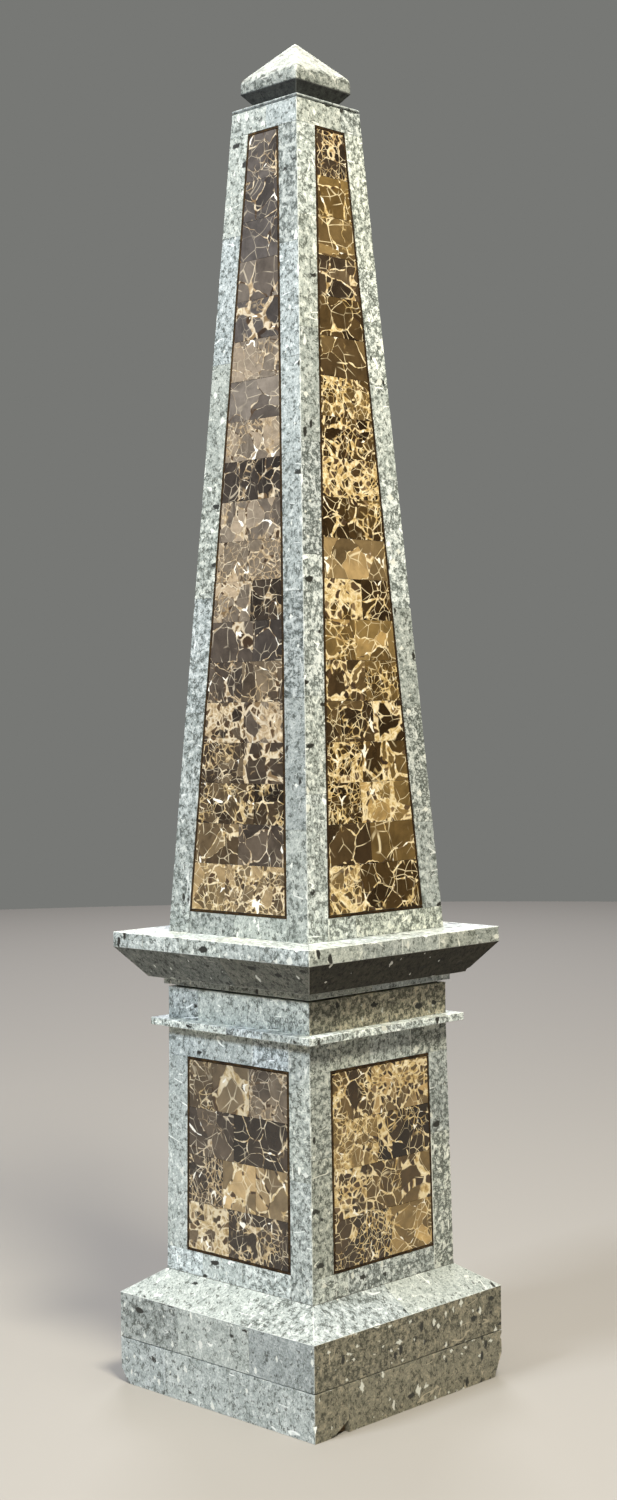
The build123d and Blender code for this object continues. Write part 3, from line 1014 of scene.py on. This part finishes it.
def square_ring(half, level, radius):
    """A square with round corners, as points."""
    points = []
    flat = half - radius
    for quarter in range(4):
        turn = Matrix.Rotation(quarter * math.pi / 2, 3, "Z")
        for i in range(SIDE_POINTS):
            points.append(turn @ Vector((-flat + 2 * flat * i / SIDE_POINTS, -half, level)))
        for i in range(CORNER_POINTS):
            angle = -math.pi / 2 + math.pi / 2 * i / CORNER_POINTS
            across, along = radius * math.cos(angle), radius * math.sin(angle)
            points.append(turn @ Vector((flat + across, -flat + along, level)))
    return points


def rounded_profile(corners, times):
    """A profile of (half width, level) through its corners, smoothed so many times."""
    points = []
    for start, end in zip(corners, corners[1:]):
        points += spread(Vector(start), Vector(end), PROFILE_STEP)
    points.append(Vector(corners[-1]))
    for _ in range(times):
        inner = [(a + 2 * b + c) / 4 for a, b, c in zip(points, points[1:], points[2:])]
        points = [points[0], *inner, points[-1]]
    return points


def worn_block(node, name, bed, corners, wear, painted_light_from=math.inf):
    """A solid piece of stone with a square plan, rubbed round at its edges and slightly uneven; its faces
    above painted_light_from get painted light.
    """
    block = Tiles(node, bed, name)
    profile = rounded_profile(corners, wear.rounding)
    offset = Vector([block.rng.uniform(0, BLOCK) for _ in range(3)])
    kind, busy = block.own_kind()
    for half, level in profile:
        for point in square_ring(half, level, min(wear.corner, half * ROUNDEST)):
            dents = noise.noise(point / DENTS) + SMALL_DENT_SHARE * noise.noise(point / SMALL_DENTS)
            out = Vector((point.x, point.y, 0)).normalized()
            block.points.append(point + out * (-abs(dents) * wear.dent))
            block.cut.append(point / MM + offset)
            block.kind.append(kind)
            block.busy.append(busy)
    count = 4 * RING_SIDE
    last = (len(profile) - 1) * count
    for low in range(0, last, count):
        high = low + count
        for i in range(count):
            j = (i + 1) % count
            ragged = PAINTED_LIGHT_RAGGED * noise.noise(block.points[low + i] / PAINTED_LIGHT_WAVES)
            paleness = CORNER_CHALK if i % RING_SIDE >= SIDE_POINTS else 0.0
            # faces above that level get painted light, whiter as if lit from above
            if profile[low // count][1] > painted_light_from + ragged:
                paleness = TOP_PAINTED_LIGHT
            block.add_face((low + i, low + j, high + j, high + i), paleness)
    block.add_face(range(count - 1, -1, -1), 0.0)
    block.add_face(range(last, last + count), TIP_CHALK)
    block.finish(STONE).data.shade_smooth()


def make_cap():
    flare = course_of("cap_foot")
    corners = [(flare.foot, flare.low), (flare.head, flare.high)]
    # the foot is painted near black: a darker stone and painted shade
    worn_block("cap_foot", "cap_foot_block", CAP_FOOT_STONE_AND_SHADE_BED, corners, CAP_FOOT_WEAR)
    low, tip = levels("cap_pyramid")
    eaves = low + EAVES
    blunt = [(out * TIP_WORN, tip - down * TIP_WORN) for out, down in BLUNT_TIP]
    corners = [(flare.head, low), (flare.head, eaves), *blunt]
    # the pyramid's faces above its eaves get painted light
    worn_block("cap_pyramid", "cap_block", CAP_BED, corners, CAP_WEAR, eaves)


def make_top_plate():
    plate = course_of("shaft_top_plate")
    half, high = plate.head, plate.high
    corners = [(half, plate.low + OPEN_JOINT), (half, high - PLATE_EDGE), (half - PLATE_EDGE, high)]
    worn_block("shaft_top_plate", "shaft_top_plate_slip", SLOPE_BED, corners, PLATE_WEAR)


def finish_carcass():
    """The boards that keep their CAD shape."""
    boards = {"base_board": PLYWOOD}
    boards.update(dict.fromkeys(("plinth_box", "pedestal_box", "cornice_block", "shaft_box"), CEMENT))
    for node, material in boards.items():
        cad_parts[node].data.materials.clear()
        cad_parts[node].data.materials.append(material)


lay_plinth()
lay_inlaid("pedestal", pedestal)
lay_inlaid("shaft", shaft)
lay_mouldings()
lay_cornice()
make_cap()
make_top_plate()
finish_carcass()

# ---- floor, light and camera ----
FLOOR_REACH = 3.6  # metres
FLOOR_SIDES = 96
MIDDLE = Vector((0, 0, 0.45))  # of the obelisk, where the lights aim
SOFT_BOXES = (  # name, place, side, power and tint
    ("window", (-0.3, -2.4, 2.2), 0.7, 98, "#e7f1ff"),
    ("ceiling", (0.2, -0.1, 4.5), 1.2, 110, "#fff7f4"),
    ("lamp", (1.2, -0.5, 2.2), 0.5, 86, "#fffaea"),
    ("back_fill", (-2.4, 2.4, 2.6), 1.4, 90, "#f4f6ff"),
)
CAMERA_PLACE = Vector((0.9911, -1.0127, 0.4570))
CAMERA_AIM = Vector((-0.6978, 0.7161, -0.0171))
CAMERA_TILT = math.radians(-0.74)
FOCAL_LENGTH = 49.6  # millimetres, with a sensor 36 mm wide
SENSOR = 36.0


def studio_floor():
    """A pale floor of matt paint, wide enough to fill the view."""
    material, _, shader = new_finish("pale_floor")
    wire(shader, {"Base Color": "#8c8881", "Roughness": 0.9})
    turns = [math.tau * i / FLOOR_SIDES for i in range(FLOOR_SIDES)]
    rim = [(FLOOR_REACH * math.cos(turn), FLOOR_REACH * math.sin(turn), 0) for turn in turns]
    mesh = bpy.data.meshes.new("floor")
    mesh.from_pydata(rim, [], [range(FLOOR_SIDES)])
    mesh.materials.append(material)
    put("floor", mesh)


def soft_light(name, place, side, power, tint):
    """A square soft box, aimed at the middle of the obelisk."""
    lamp = bpy.data.lights.new(name, "AREA")
    lamp.shape, lamp.size, lamp.energy = "SQUARE", side, power
    lamp.color = colour(tint)[:3]
    holder = put(name, lamp)
    holder.location = place
    holder.rotation_euler = (MIDDLE - Vector(place)).to_track_quat("-Z", "Y").to_euler()


def make_studio():
    """A dim room round the soft boxes, with a plain grey backdrop that gives no light."""
    world = bpy.data.worlds.new("studio")
    world.use_nodes = True
    world.node_tree.nodes.clear()
    add = partial(add_node, world.node_tree)
    dim = add("Background", {"Color": "#dfe3e2", "Strength": 0.03})
    backdrop = add("Background", {"Color": "#777875"})
    seen = add("LightPath").outputs["Is Camera Ray"]
    both = add("MixShader", [seen, dim, backdrop])
    add("OutputWorld", {"Surface": both})
    bpy.context.scene.world = world


def set_camera():
    """A long lens at table height, square to the near arris, with a slight tilt."""
    lens = bpy.data.cameras.new("camera")
    lens.sensor_width, lens.lens = SENSOR, FOCAL_LENGTH
    holder = put("camera", lens)
    aim = CAMERA_AIM.to_track_quat("-Z", "Y").to_matrix().to_4x4()
    tilt = Matrix.Rotation(CAMERA_TILT, 4, "Z")
    holder.matrix_world = Matrix.Translation(CAMERA_PLACE) @ aim @ tilt
    bpy.context.scene.camera = holder


studio_floor()
for box in SOFT_BOXES:
    soft_light(*box)
set_camera()
make_studio()
bpy.context.scene.view_settings.view_transform = "Standard"
